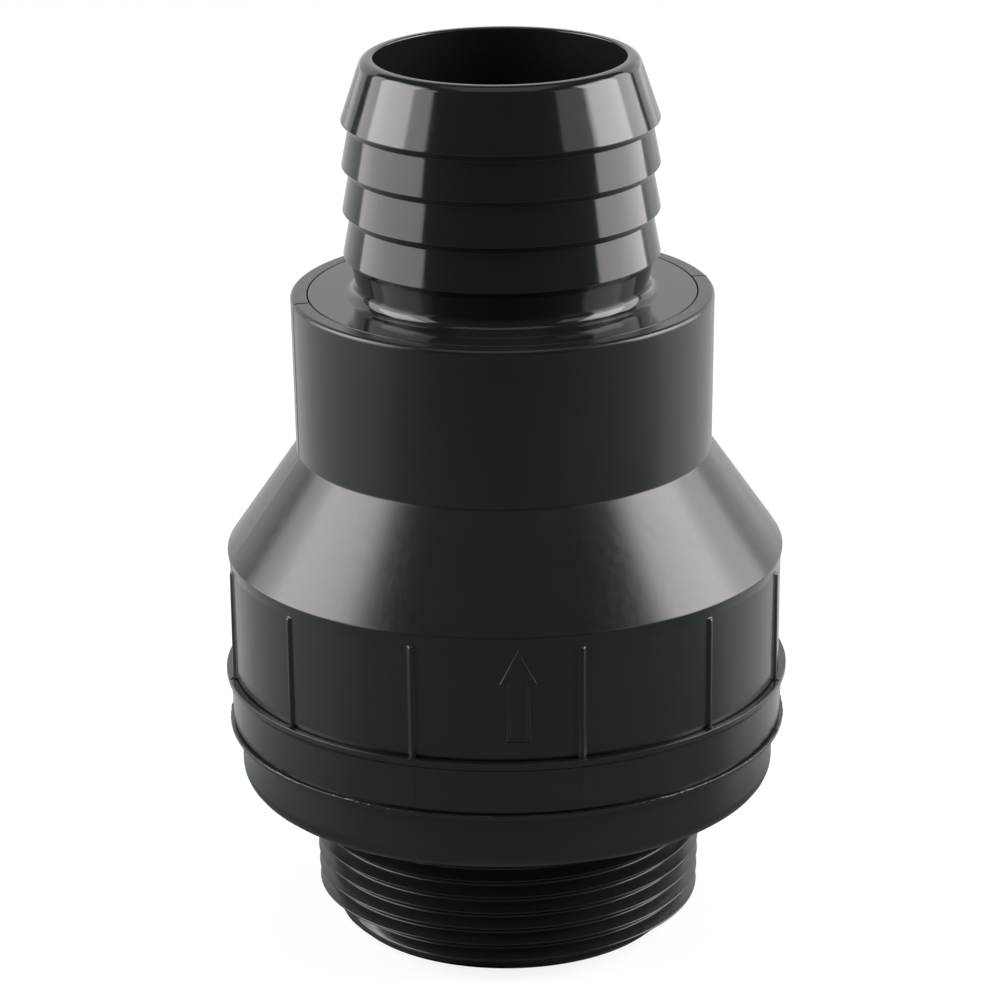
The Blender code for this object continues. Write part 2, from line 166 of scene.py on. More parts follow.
# Hinge and flapper
PIVOT_Y = 23.0
PIVOT_Z = 32.0
PIN_R = 1.25
LUG_INNER_X = 7.0
LUG_THICK = 3.0
LUG_R = 3.1
PIN_HALF = 12.1
CLIP_R = 2.7
CLIP_THICK = 0.7
CLIP_SLOT_DEPTH = 0.7
CLIP_SLOT_HALF_ANGLE = 7.5
SEAL_R = 20.0
SEAL_THICK = 3.0
ARM_DISC_R = 17.5
ARM_DISC_THICK = 2.0
ARM_HALF_WIDTH = 5.5
ARM_THICK = 3.2
EYE_R = 3.1
HEEL_HALF_WIDTH = 2.8
HEEL_HALF_THICK = 1.4
HEEL_LENGTH = 9.0
OPEN_ANGLE = 65.0
BALLAST_R = 11.5
BALLAST_THICK = 4.0
WASHER_R = 9.5
WASHER_THICK = 1.2
SCREW_R = 2.4
SCREW_HEAD_R = 4.6
SCREW_HEAD_THICK = 2.7
SOCKET_ACROSS = 3.0
SOCKET_DEPTH = 1.4
HOLE_R = 2.65
LOCK_WASHER_R = 4.3
LOCK_WASHER_THICK = 1.1
NUT_ACROSS = 8.0
NUT_THICK = 4.0
SCREW_PAST_NUT = 1.0
SCREW_PITCH = 0.8
SCREW_THREAD_DEPTH = 0.42
SOCKET_CHAMFER = 0.25
WEB_X = 4.2
WEB_HALF = 0.6
GUSSET_LENGTH = 6.5
GUSSET_PAST_LUG = 0.8
LOCK_WASHER_RISE = 0.18


def rounded(corners, steps=FILLET_STEPS):
    """Outline from (radius, height, fillet) corners, each fillet drawn as an arc."""
    outline = []
    count = len(corners)
    for index, (r, z, fillet) in enumerate(corners):
        here = Vector((r, z))
        if fillet == 0:
            outline.append(here)
            continue
        before = (Vector(corners[index - 1][:2]) - here).normalized()
        after = (Vector(corners[(index + 1) % count][:2]) - here).normalized()
        half = before.angle(after) / 2
        centre = here + (before + after).normalized() * fillet / math.sin(half)
        start = here + before * fillet / math.tan(half) - centre
        end = here + after * fillet / math.tan(half) - centre
        sweep = start.angle_signed(end)
        for step in range(steps + 1):
            turn = Matrix.Rotation(-sweep * step / steps, 2)
            outline.append(centre + turn @ start)
    return outline


def supported(outline, closed=True, margin=0.12, longest=2.5):
    """Adds points near both ends of each long side and along it, so that smooth shading stays flat there."""
    points = []
    count = len(outline)
    for index in range(count if closed else count - 1):
        start = Vector(outline[index])
        end = Vector(outline[(index + 1) % count])
        length = (end - start).length
        points.append(start)
        if length < 4 * margin:
            continue
        inner = max(1, math.ceil((length - 2 * margin) / longest))
        shares = [margin + (length - 2 * margin) * step / inner for step in range(inner + 1)]
        points += [start.lerp(end, share / length) for share in shares]
    if not closed:
        points.append(Vector(outline[-1]))
    return points


def outline_normals(points, closed):
    """Unit normals to the left of the direction of travel, outwards where the outline runs clockwise."""
    flat = np.array([tuple(p) for p in points])
    if closed:
        travel = np.roll(flat, -1, 0) - np.roll(flat, 1, 0)
    else:
        travel = np.gradient(flat, axis=0)
    normals = np.stack([-travel[:, 1], travel[:, 0]], 1)
    return normals / np.linalg.norm(normals, axis=1)[:, None]


def around(step=1.5, *, fine=()):
    """Azimuths at an even step, with closer ones at each (centre, offsets) of fine."""
    angles = list(np.arange(0.0, 360.0, step))
    for centre, offsets in fine:
        for offset in offsets:
            angles += [(centre + offset) % 360, (centre - offset) % 360]
    angles = np.unique(np.round(angles, 3))
    kept = [angles[0]]
    for angle in angles[1:]:
        if angle - kept[-1] > CLOSEST_AZIMUTHS:
            kept.append(angle)
    return np.array(kept)


def apart(angles, centre):
    """Smallest turn between azimuths, in degrees."""
    return np.abs((angles - centre + 180) % 360 - 180)


def smooth_step(value, low, high):
    share = np.clip((value - low) / (high - low), 0, 1)
    return share * share * (3 - 2 * share)


def new_piece(name, mesh, finish, body, replaces=()):
    """Object from a mesh in millimetres that rides on a CAD body."""
    mesh.transform(Matrix.Scale(MM, 4))
    obj = bpy.data.objects.new(name, mesh)
    bpy.context.scene.collection.objects.link(obj)
    mesh.materials.clear()
    mesh.materials.append(finish)
    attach(obj, body)
    if replaces:
        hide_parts(*replaces)
    return obj


def shaded(mesh, sharp_degrees=38.0):
    mesh.shade_smooth()
    mesh.set_sharp_from_angle(angle=math.radians(sharp_degrees))
    return mesh


def closed_up(work, name, weld=0.0004):
    """Mesh from a bmesh in millimetres, welded, with its normals outwards."""
    bmesh.ops.remove_doubles(work, verts=work.verts, dist=weld)
    bmesh.ops.dissolve_degenerate(work, edges=work.edges, dist=weld)
    bmesh.ops.recalc_face_normals(work, faces=work.faces)
    return shaded(bmesh_to_mesh(work, name))


def bmesh_to_mesh(work, name):
    mesh = bpy.data.meshes.new(name)
    work.to_mesh(mesh)
    work.free()
    return mesh


def join_rings(work, rings, closed_rings=True, closed_row=True):
    """Quads between each ring of vertices and the next."""
    count = len(rings[0])
    for index in range(len(rings) if closed_row else len(rings) - 1):
        ring = rings[index]
        following = rings[(index + 1) % len(rings)]
        for side in range(count if closed_rings else count - 1):
            nxt = (side + 1) % count
            work.faces.new((ring[side], ring[nxt], following[nxt], following[side]))


def join_helix(work, columns, wrap):
    """Quads between columns of a helical grid, whose last column meets the first a turn of wrap rows on."""
    last = len(columns) - 1
    for index, column in enumerate(columns):
        following = columns[(index + 1) % len(columns)]
        skip = wrap if index == last else 0
        for row in range(len(column) - 1 - skip):
            work.faces.new((column[row], column[row + 1], following[row + 1 + skip], following[row + skip]))


def on_circle(work, radius, turn, level):
    """Vertex at a radius, a turn in radians from -Y and a height."""
    return work.verts.new((radius * math.sin(turn), -radius * math.cos(turn), level))


def turned_into(work, points, angles, closed=True, displace=None):
    """Sweeps outline points round the axis into a bmesh, moved along their normals by displace."""
    flat = np.array([tuple(p) for p in points])
    radius = np.tile(flat[:, 0], (len(angles), 1))
    height = np.tile(flat[:, 1], (len(angles), 1))
    if displace:
        normals = outline_normals(points, closed)
        shift = displace(angles[:, None], flat[None, :, 0], flat[None, :, 1])
        radius = radius + normals[None, :, 0] * shift
        height = height + normals[None, :, 1] * shift
    turn = np.radians(angles)[:, None]
    x = radius * np.sin(turn)
    y = -radius * np.cos(turn)
    grid = [[work.verts.new(spot) for spot in zip(*ring)] for ring in zip(x, y, height)]
    join_rings(work, grid, closed_rings=closed)
    return grid


def turned(name, outline, angles, displace=None, longest=2.5):
    work = bmesh.new()
    turned_into(work, supported(outline, longest=longest), angles, displace=displace)
    return closed_up(work, name)


def box_prism(outline, low_x, high_x, bevel=0.25, segments=3):
    """A bevelled bmesh prism of a (Y, Z) outline along X."""
    work = bmesh.new()
    face = work.faces.new([work.verts.new((low_x, y, z)) for y, z in outline])
    grown = bmesh.ops.extrude_face_region(work, geom=[face])["geom"]
    moved = [item for item in grown if isinstance(item, bmesh.types.BMVert)]
    bmesh.ops.translate(work, verts=moved, vec=(high_x - low_x, 0, 0))
    bmesh.ops.recalc_face_normals(work, faces=work.faces)
    sharp = [edge for edge in work.edges if edge.calc_face_angle(0) > math.radians(35)]
    bmesh.ops.bevel(work, geom=sharp, offset=bevel, segments=segments, profile=0.5, affect="EDGES")
    return work


def joined(name, parts):
    """One mesh from several bmeshes, which are freed."""
    whole = bmesh.new()
    for part in parts:
        piece = bpy.data.meshes.new("part")
        part.to_mesh(piece)
        part.free()
        whole.from_mesh(piece)
        bpy.data.meshes.remove(piece)
    return bmesh_to_mesh(whole, name)


def along_x(work, y, z):
    """Turns a bmesh made about Z so that its axis runs along X through (y, z)."""
    turn = Matrix.Translation((0, y, z)) @ Matrix.Rotation(math.radians(90), 4, "Y")
    bmesh.ops.transform(work, matrix=turn, verts=work.verts)
    return work


def tube(outline, step=6.0):
    """A turned bmesh about Z from a closed outline."""
    work = bmesh.new()
    turned_into(work, outline, around(step))
    bmesh.ops.recalc_face_normals(work, faces=work.faces)
    return work


# Materials

PLASTIC_IOR = 1.54
BLACK = (0.0105, 0.0120, 0.0125)
DUST = (0.03, 0.03, 0.03)


def shader_of(name):
    made = bpy.data.materials.new(name)
    made.use_nodes = True
    tree = made.node_tree
    return made, tree, tree.nodes["Principled BSDF"]


def node(tree, kind, **settings):
    made = tree.nodes.new(kind)
    for key, value in settings.items():
        setattr(made, key, value)
    return made


def noise_node(tree, place, scale, detail=3.0, rough=0.55):
    made = node(tree, "ShaderNodeTexNoise")
    made.inputs["Scale"].default_value = scale
    made.inputs["Detail"].default_value = detail
    made.inputs["Roughness"].default_value = rough
    tree.links.new(place, made.inputs["Vector"])
    return made.outputs["Fac"]


def stretched(tree, place, scale):
    made = node(tree, "ShaderNodeMapping")
    made.inputs["Scale"].default_value = scale
    tree.links.new(place, made.inputs["Vector"])
    return made.outputs["Vector"]


def ramp(tree, fac, stops):
    made = node(tree, "ShaderNodeValToRGB")
    band = made.color_ramp
    while len(band.elements) < len(stops):
        band.elements.new(0.5)
    for element, (position, colour) in zip(band.elements, stops):
        element.position = position
        element.color = (*colour, 1.0) if hasattr(colour, "__len__") else (colour, colour, colour, 1.0)
    tree.links.new(fac, made.inputs["Fac"])
    return made.outputs["Color"]


def bump(tree, height, distance, after=None):
    made = node(tree, "ShaderNodeBump")
    made.inputs["Distance"].default_value = distance
    made.inputs["Strength"].default_value = 1.0
    tree.links.new(height, made.inputs["Height"])
    if after:
        tree.links.new(after, made.inputs["Normal"])
    return made.outputs["Normal"]


def moulded_plastic(name, colour, pale, roughness, wave, grain):
    """Black moulded plastic: faint sink waves, fine grain, drag marks along the draw, and a little dust."""
    made, tree, shader = shader_of(name)
    place = node(tree, "ShaderNodeTexCoord").outputs["Object"]
    cloud = noise_node(tree, place, 90.0, 4.0)
    fine = noise_node(tree, place, 2600.0, 2.0)
    drag = noise_node(tree, stretched(tree, place, (1.0, 1.0, 0.06)), 1500.0, 2.0)
    specks = noise_node(tree, place, 1900.0, 1.0, 0.4)
    tone = ramp(tree, cloud, [(0.35, colour), (0.75, tuple(c * 1.25 for c in colour))])
    dust = ramp(tree, specks, [(0.80, 0.0), (0.86, 1.0)])
    mix = node(tree, "ShaderNodeMix", data_type="RGBA")
    tree.links.new(dust, mix.inputs["Factor"])
    tree.links.new(tone, mix.inputs[6])
    mix.inputs[7].default_value = (*pale, 1.0)
    tree.links.new(mix.outputs[2], shader.inputs["Base Color"])
    low, high = roughness
    gloss = node(tree, "ShaderNodeMapRange")
    gloss.inputs["From Min"].default_value = 0.3
    gloss.inputs["From Max"].default_value = 0.7
    gloss.inputs["To Min"].default_value = low
    gloss.inputs["To Max"].default_value = high
    tree.links.new(drag, gloss.inputs["Value"])
    tree.links.new(gloss.outputs["Result"], shader.inputs["Roughness"])
    shader.inputs["IOR"].default_value = PLASTIC_IOR
    wavy = bump(tree, noise_node(tree, place, 70.0, 1.5), wave)
    normal = bump(tree, fine, grain, after=wavy)
    tree.links.new(normal, shader.inputs["Normal"])
    return made


def moulded_rubber(name):
    made, tree, shader = shader_of(name)
    place = node(tree, "ShaderNodeTexCoord").outputs["Object"]
    bloom = noise_node(tree, place, 220.0, 5.0)
    tone = ramp(tree, bloom, [(0.35, (0.011, 0.011, 0.011)), (0.75, (0.024, 0.023, 0.022))])
    tree.links.new(tone, shader.inputs["Base Color"])
    shader.inputs["Roughness"].default_value = 0.62
    shader.inputs["IOR"].default_value = 1.45
    tree.links.new(bump(tree, noise_node(tree, place, 3500.0, 3.0), 0.00002), shader.inputs["Normal"])
    return made


def acetal(name):
    made, tree, shader = shader_of(name)
    place = node(tree, "ShaderNodeTexCoord").outputs["Object"]
    cloud = noise_node(tree, place, 140.0, 4.0)
    tone = ramp(tree, cloud, [(0.3, (0.69, 0.69, 0.66)), (0.7, (0.74, 0.74, 0.71))])
    tree.links.new(tone, shader.inputs["Base Color"])
    shader.inputs["Roughness"].default_value = 0.38
    shader.inputs["Subsurface Weight"].default_value = 0.15
    shader.inputs["Subsurface Radius"].default_value = (0.001, 0.001, 0.0008)
    tree.links.new(bump(tree, noise_node(tree, place, 2400.0, 2.0), 0.00001), shader.inputs["Normal"])
    return made


def turned_metal(name, colour, shade, roughness):
    """Metal with the fine circular marks of turning about the object's Z axis."""
    made, tree, shader = shader_of(name)
    place = node(tree, "ShaderNodeTexCoord").outputs["Object"]
    rings = node(tree, "ShaderNodeTexWave", wave_type="RINGS", rings_direction="Z")
    rings.inputs["Scale"].default_value = 900.0
    rings.inputs["Distortion"].default_value = 2.0
    rings.inputs["Detail"].default_value = 3.0
    tree.links.new(place, rings.inputs["Vector"])
    stain = noise_node(tree, place, 260.0, 5.0)
    tone = ramp(tree, stain, [(0.35, colour), (0.72, shade)])
    tree.links.new(tone, shader.inputs["Base Color"])
    shader.inputs["Metallic"].default_value = 1.0
    gloss = node(tree, "ShaderNodeMapRange")
    gloss.inputs["To Min"].default_value = roughness[0]
    gloss.inputs["To Max"].default_value = roughness[1]
    tree.links.new(stain, gloss.inputs["Value"])
    tree.links.new(gloss.outputs["Result"], shader.inputs["Roughness"])
    tree.links.new(bump(tree, rings.outputs["Fac"], 0.000004), shader.inputs["Normal"])
    return made


satin_black = moulded_plastic("moulded_black_satin", BLACK, DUST, (0.21, 0.27), 0.000010, 0.0000008)
gloss_black = moulded_plastic("moulded_black_gloss", BLACK, DUST, (0.08, 0.13), 0.000008, 0.0000005)
rubber_black = moulded_rubber("moulded_rubber")
white_acetal = acetal("moulded_acetal")
steel = turned_metal("stainless_steel", (0.60, 0.59, 0.57), (0.48, 0.47, 0.45), (0.22, 0.40))
brass = turned_metal("turned_brass", (0.70, 0.50, 0.20), (0.50, 0.34, 0.13), (0.26, 0.42))


# Hose tail


def make_hose_tail():
    plug_in = PLUG_R - PLUG_WALL
    corners = [(HOSE_BORE_R, RIM_Z, 0.25), (RIM_R, RIM_Z, RIM_EDGE)]
    lip_z = RIM_Z - FIRST_TAPER
    for barb in range(BARB_COUNT):
        corners.append((BARB_LIP_R, lip_z - barb * BARB_PITCH, 0.14))
        corners.append((BARB_ROOT_R, lip_z - barb * BARB_PITCH - BARB_UNDERCUT, 0.12))
    corners += [
        (NECK_R, HUB_TOP_Z, NECK_FILLET),
        (PLUG_R, HUB_TOP_Z, 0.12),
        (PLUG_R, HUB_TOP_Z - PLUG_DEPTH, 0.3),
        (plug_in, HUB_TOP_Z - PLUG_DEPTH, 0.3),
        (plug_in, HUB_TOP_Z - PLUG_WEB - (plug_in - HOSE_BORE_R), 0.6),
        (HOSE_BORE_R, HUB_TOP_Z - PLUG_WEB, 0.4),
    ]
    mesh = turned("hose_tail_moulding", rounded(corners), around(1.5), longest=1.2)
    return new_piece("hose_tail_moulding", mesh, gloss_black, "root", ["hose_tail"])


# Outlet housing


def rib_centres():
    return [side + sign * angle for side in (0.0, 180.0) for angle in RIB_ANGLES for sign in (-1, 1)]


def body_relief(angles, radius, height):
    """Ribs, band marks and mould parting lines of the outlet housing."""
    shift = np.zeros(np.broadcast(angles, radius).shape)
    outside = radius > HUB_FOOT_R - 2.0
    below_lip = smooth_step(-height, -(BODY_TOP_Z + 0.05), -(BODY_TOP_Z - 0.25))
    in_body = (height > BEAD_Z) & (radius > BODY_R - 0.5) & (height < BODY_TOP_Z + 0.1)
    up_to_rib = np.maximum(BODY_R + RIB_PROUD - radius, 0) * in_body * below_lip
    on_band = (radius > BAND_FOOT_R - 0.2) & (height < BAND_TOP_Z - 0.1) & (height > HEM_Z + 0.05)
    notch = (1 - smooth_step(height, *NOTCH_Z)) * on_band
    stripe = smooth_step(height, *STRIPE_FOOT_Z) * (1 - smooth_step(height, *STRIPE_TOP_Z)) * on_band
    for centre in rib_centres():
        gap = apart(angles, centre)
        blade = 1 - smooth_step(gap, RIB_CREST_HALF_ANGLE, RIB_HALF_ANGLE)
        shift = np.maximum(shift, blade * up_to_rib)
        away = min(abs(centre), abs(centre - 180), abs(centre + 180))
        if abs(away - RIB_ANGLES[1]) < 1:
            shift = shift - NOTCH_DEPTH * (1 - smooth_step(gap, *NOTCH_HALF_ANGLES)) * notch
        elif abs(away - RIB_ANGLES[0]) < 1:
            shift = shift + STRIPE_PROUD * blade * stripe
    for centre in PARTING_ANGLES:
        ridge = 1 - smooth_step(apart(angles, centre), PARTING_HALF_ANGLE * 0.3, PARTING_HALF_ANGLE)
        shift = shift + PARTING_PROUD * ridge * outside * (height > BEAD_Z + 0.2)
    return shift


def make_outlet_housing():
    socket_r = PLUG_R + HUB_JOINT_GAP
    socket_floor = HUB_TOP_Z - PLUG_DEPTH - SEAM
    bell_r = TONGUE_R + SEAM
    corners = [
        (socket_r, HUB_TOP_Z, 0.1),
        (HUB_R, HUB_TOP_Z, HUB_EDGE),
        (HUB_FOOT_R, HUB_FOOT_Z, 0.5),
        (SHOULDER_R, SHOULDER_Z, 0.4),
        (SHOULDER_R - 0.1, SHOULDER_Z - SHOULDER_LIP * 0.7, 0.4),
        (BODY_R + 0.1, BODY_TOP_Z, 2.0),
        (BODY_R, BEAD_Z + CREVICE_HEIGHT, 0.04),
        (BODY_R - CREVICE_DEPTH, BEAD_Z + CREVICE_HEIGHT, 0),
        (BODY_R - CREVICE_DEPTH, BEAD_Z, 0),
        (BEAD_R, BEAD_Z, 0.08),
        (BEAD_R, BEAD_LOW_Z, 0.3),
        (BAND_R, BAND_TOP_Z, 0.5),
        (BAND_FOOT_R, HEM_Z + CREVICE_HEIGHT, 0.04),
        (BAND_FOOT_R - CREVICE_DEPTH, HEM_Z + CREVICE_HEIGHT, 0),
        (BAND_FOOT_R - CREVICE_DEPTH, HEM_Z, 0),
        (HEM_R, HEM_Z, 0.06),
        (HEM_R, JOINT_Z + SEAM / 2, 0.25),
        (bell_r, JOINT_Z + SEAM / 2, 0),
        (bell_r, TONGUE_TOP_Z + SEAM, 0),
        (CHAMBER_R, TONGUE_TOP_Z + SEAM, 0),
        (CHAMBER_R, CONE_FOOT_Z, 1.5),
        (THROAT_R, CONE_TOP_Z, 1.5),
        (THROAT_R, socket_floor, 0.3),
        (socket_r, socket_floor, 0),
    ]
    offsets = (0, 0.1, 0.22, 0.34, 0.46, 0.58, 0.7, 0.82, 0.95, 1.1)
    fine = [(centre, offsets) for centre in rib_centres()]
    fine += [(centre, (0, 0.1, 0.2, 0.3, 0.5)) for centre in PARTING_ANGLES]
    angles = around(1.5, fine=fine)
    mesh = turned("outlet_housing_moulding", rounded(corners), angles, body_relief, longest=1.5)
    return new_piece("outlet_housing_moulding", mesh, satin_black, "root", ["outlet_housing"])


def raised_line(name, path):
    """Closed line of (azimuth, height) points that stands proud of the body's cylinder."""
    corners = [Vector((math.radians(azimuth) * BODY_R, height)) for azimuth, height in path]
    points = []
    for start, end in zip(corners, corners[1:] + corners[:1]):
        steps = max(1, round((end - start).length / LINE_STEP))
        points += [start.lerp(end, step / steps) for step in range(steps)]
    total = len(points)
    section = (
        (-LINE_HALF_BASE, -LINE_SINK),
        (-LINE_HALF_BASE, 0),
        (-LINE_HALF_TOP, LINE_PROUD),
        (LINE_HALF_TOP, LINE_PROUD),
        (LINE_HALF_BASE, 0),
        (LINE_HALF_BASE, -LINE_SINK),
    )
    work = bmesh.new()
    rings = []
    for index, here in enumerate(points):
        back = (here - points[index - 1]).normalized()
        ahead = (points[(index + 1) % total] - here).normalized()
        side = Vector((-(back + ahead).y, (back + ahead).x)).normalized()
        stretch = 1 / max(0.45, side.dot(Vector((-back.y, back.x))))
        ring = []
        for offset, lift in section:
            spot = here + side * offset * stretch
            ring.append(on_circle(work, BODY_R + lift, spot.x / BODY_R, spot.y))
        rings.append(ring)
    join_rings(work, rings)
    bmesh.ops.recalc_face_normals(work, faces=work.faces)
    return shaded(bmesh_to_mesh(work, name), 30.0)


def make_flow_arrow():
    """Outline of an arrow that points along the flow."""
    path = [
        (ARROW_AZIMUTH, ARROW_TIP_Z),
        (ARROW_AZIMUTH + ARROW_HEAD_HALF, ARROW_HEAD_Z),
        (ARROW_AZIMUTH + ARROW_SHAFT_HALF, ARROW_HEAD_Z),
        (ARROW_AZIMUTH + ARROW_SHAFT_HALF, ARROW_FOOT_Z),
        (ARROW_AZIMUTH - ARROW_SHAFT_HALF, ARROW_FOOT_Z),
        (ARROW_AZIMUTH - ARROW_SHAFT_HALF, ARROW_HEAD_Z),
        (ARROW_AZIMUTH - ARROW_HEAD_HALF, ARROW_HEAD_Z),
    ]
    return new_piece("flow_arrow", raised_line("flow_arrow", path), satin_black, "root")


def make_weld_flash():
    """Bead of melted plastic squeezed out of the joint between the two housings."""
    work = bmesh.new()
    rings = []
    for step in range(FLASH_STEPS):
        turn = 2 * math.pi * step / FLASH_STEPS
        spot = Vector((math.sin(turn), -math.cos(turn), 0))
        slow = noise.noise(spot * 2.3 + Vector((3.1, 0, 0)))
        quick = noise.noise(spot * 17 + Vector((0, 5.2, 0)))
        lumps = noise.noise(spot * 46 + Vector((0, 0, 1.7)))
        size = FLASH_SIZE + 0.16 * slow + 0.12 * quick + 0.12 * lumps
        size = min(max(FLASH_SIZES[0], size), FLASH_SIZES[1])
        radius = HEM_R - FLASH_INSET + 0.10 * slow
        level = HEM_Z - FLASH_DROP + 0.15 * quick
        ring = []
        for side in range(FLASH_SIDES):
            around_bead = 2 * math.pi * side / FLASH_SIDES
            out = radius + size * math.cos(around_bead)
            ring.append(on_circle(work, out, turn, level + size * 0.9 * math.sin(around_bead)))
        rings.append(ring)
    join_rings(work, rings)
    bmesh.ops.recalc_face_normals(work, faces=work.faces)
    mesh = shaded(bmesh_to_mesh(work, "weld_flash"), 80.0)
    return new_piece("weld_flash", mesh, satin_black, "root")


# Inlet housing


def thread_shares():
    """(share of a pitch, share of the depth) along one thread, from crest to crest."""
    crest = [(0.0, 0.0), (0.02, 0.0), (0.045, 0.03), (0.07, 0.10)]
    flank = [(0.15, 0.30), (0.25, 0.57), (0.36, 0.86)]
    valley = [(0.40, 0.95), (0.44, 0.99), (0.48, 1.0)]
    half = crest + flank + valley
    return half + [(1 - share, depth) for share, depth in reversed(half[1:])]


def nipple_radius(height):
    return PIPE_R - (FLANGE_FOOT_Z - height) * PIPE_TAPER


def thread_into(work, angles):
    """The tapered thread as a grid that follows its helix, from a plain lead at the end to the flange."""
    shares = thread_shares()
    turns = math.ceil(FLANGE_FOOT_Z / THREAD_PITCH) + 2
    rows = [(turn + share, depth) for turn in range(-2, turns) for share, depth in shares]
    columns = []
    for angle in angles:
        column = []
        for pitches, depth in rows:
            level = THREAD_CREST_Z + (pitches + (angle - THREAD_START_ANGLE) / 360) * THREAD_PITCH
            level = min(max(level, 0.0), FLANGE_FOOT_Z)
            fade = 1 - float(smooth_step(level, THREAD_FADE_LOW, THREAD_FADE_HIGH))
            lead = END_R + (LEAD_R - END_R) * min(1.0, level / LEAD_CHAMFER)
            begins = float(smooth_step(angle, *THREAD_FIRST_ANGLES))
            first_turn = float(smooth_step(pitches, *THREAD_FIRST_TURN)) * begins
            started = max(first_turn, float(smooth_step(pitches, *THREAD_FULL_TURN)))
            radius = lead + (nipple_radius(level) - THREAD_DEPTH * depth * fade - lead) * started
            column.append(on_circle(work, radius, math.radians(angle), level))
        columns.append(column)
    join_helix(work, columns, len(shares))


def make_inlet_housing():
    tongue_in = TONGUE_R - TONGUE_WALL
    corners = [
        (PIPE_R, FLANGE_FOOT_Z, 0),
        (FLANGE_R, FLANGE_FOOT_Z, FLANGE_EDGE),
        (FLANGE_R, JOINT_Z - SEAM / 2, 0.25),
        (TONGUE_R, JOINT_Z - SEAM / 2, 0.1),
        (TONGUE_R, TONGUE_TOP_Z, 0.3),
        (tongue_in, TONGUE_TOP_Z, 0.3),
        (tongue_in, DECK_Z, 0.5),
        (PORT_R + SEAT_LIP + 0.6, DECK_Z, 0.3),
        (PORT_R + SEAT_LIP, SEAT_Z, 0.4),
        (PORT_R, SEAT_Z, 0.3),
        (PORT_R, PORT_CONE_TOP_Z, 0.6),
        (INLET_BORE_R, PORT_CONE_FOOT_Z, 0.6),
        (INLET_BORE_R, 0, 0.3),
        (END_R, 0, 0),
    ]
    outline = supported(rounded(corners), closed=False, longest=2.0)
    angles = around(1.5)
    work = bmesh.new()
    turned_into(work, outline, angles, closed=False)
    thread_into(work, angles)
    mesh = closed_up(work, "inlet_housing_moulding", weld=0.002)
    return new_piece("inlet_housing_moulding", mesh, satin_black, "root", ["inlet_housing"])


def make_hinge_lugs():
    front = PIVOT_Y - LUG_R - 0.1
    back = CHAMBER_R - TONGUE_WALL / 2
    foot = (DECK_Z + FLANGE_FOOT_Z) / 2
    outline = [(back, foot), (front, foot), (front, PIVOT_Z)]
    for step in range(1, 24):
        angle = math.pi - math.pi * step / 24
        outline.append((PIVOT_Y + LUG_R * math.cos(angle), PIVOT_Z + LUG_R * math.sin(angle)))
    outline += [(PIVOT_Y + LUG_R, PIVOT_Z), (back, TONGUE_TOP_Z - SEAM)]
    parts = []
    for low in (-LUG_INNER_X - LUG_THICK, LUG_INNER_X):
        parts.append(box_prism(outline, low, low + LUG_THICK, 0.3))
        tip = back - GUSSET_LENGTH
        gusset = [(back, DECK_Z - 1), (tip, DECK_Z - 1), (tip, DECK_Z + 0.9), (back, DECK_Z + 5.5)]
        parts.append(box_prism(gusset, low - GUSSET_PAST_LUG, low + LUG_THICK + GUSSET_PAST_LUG, 0.4))
    mesh = shaded(joined("hinge_lugs", parts))
    return new_piece("hinge_lugs", mesh, satin_black, "root")


# Hinge


def make_hinge_pin():
    corners = [(0.02, PIN_HALF, 0), (PIN_R, PIN_HALF, 0.28), (PIN_R, -PIN_HALF, 0.28), (0.02, -PIN_HALF, 0)]
    work = tube(supported(rounded(corners), longest=4.0), 5.0)
    mesh = shaded(bmesh_to_mesh(work, "hinge_pin_ground"))
    obj = new_piece("hinge_pin_ground", mesh, steel, "root", ["hinge_pin"])
    return turned_about_x(obj, 0, 1)


def turned_about_x(obj, x, side):
    """Places a piece made about Z on the hinge axis, facing along +X or -X."""
    obj.matrix_world = (
        Matrix.Translation((x * MM, PIVOT_Y * MM, PIVOT_Z * MM))
        @ Matrix.Rotation(math.radians(90 * side), 4, "Y")
    )
    return obj


def make_push_nut(name, side, node_name):
    """Push-on retaining washer with a dished rim and six tangs that bite the pin."""
    work = bmesh.new()
    angles = around(5.0, fine=[(centre, (1, 6, 7)) for centre in range(0, 360, 60)])
    slots = np.min([apart(angles, centre) for centre in range(0, 360, 60)], axis=0)
    corners = [
        (PIN_R + 0.06, CLIP_THICK, 0),
        (CLIP_R, CLIP_THICK * 0.8, 0.15),
        (CLIP_R, 0, 0.15),
        (PIN_R + 0.06, CLIP_THICK * 0.45, 0),
    ]
    grid = turned_into(work, supported(rounded(corners), margin=0.05), angles)
    slot_r = PIN_R + CLIP_SLOT_DEPTH
    for slot_gap, ring in zip(slots, grid):
        if slot_gap > CLIP_SLOT_HALF_ANGLE:
            continue
        for vert in ring:
            radius = math.hypot(vert.co.x, vert.co.y)
            if radius < slot_r:
                vert.co.x *= slot_r / radius
                vert.co.y *= slot_r / radius
    mesh = closed_up(work, name)
    obj = new_piece(name, mesh, steel, "root", [node_name])
    near = LUG_INNER_X + LUG_THICK + SEAM
    return turned_about_x(obj, side * near, side)


# Flapper


def stack_levels():
    """Heights of the clamped stack above the seat, as name to (low, high)."""
    levels = {}
    level = SEAT_Z + SEAM
    for name, thick in (
        ("seal", SEAL_THICK),
        ("arm", ARM_DISC_THICK),
        ("ballast", BALLAST_THICK),
        ("lock_washer", LOCK_WASHER_THICK),
        ("nut", NUT_THICK),
    ):
        levels[name] = (level, level + thick)
        level += thick + SEAM
    levels["washer"] = (SEAT_Z - WASHER_THICK, SEAT_Z)
    head_top = SEAT_Z - WASHER_THICK - SEAM
    levels["head"] = (head_top - SCREW_HEAD_THICK, head_top)
    return levels


LEVELS = stack_levels()


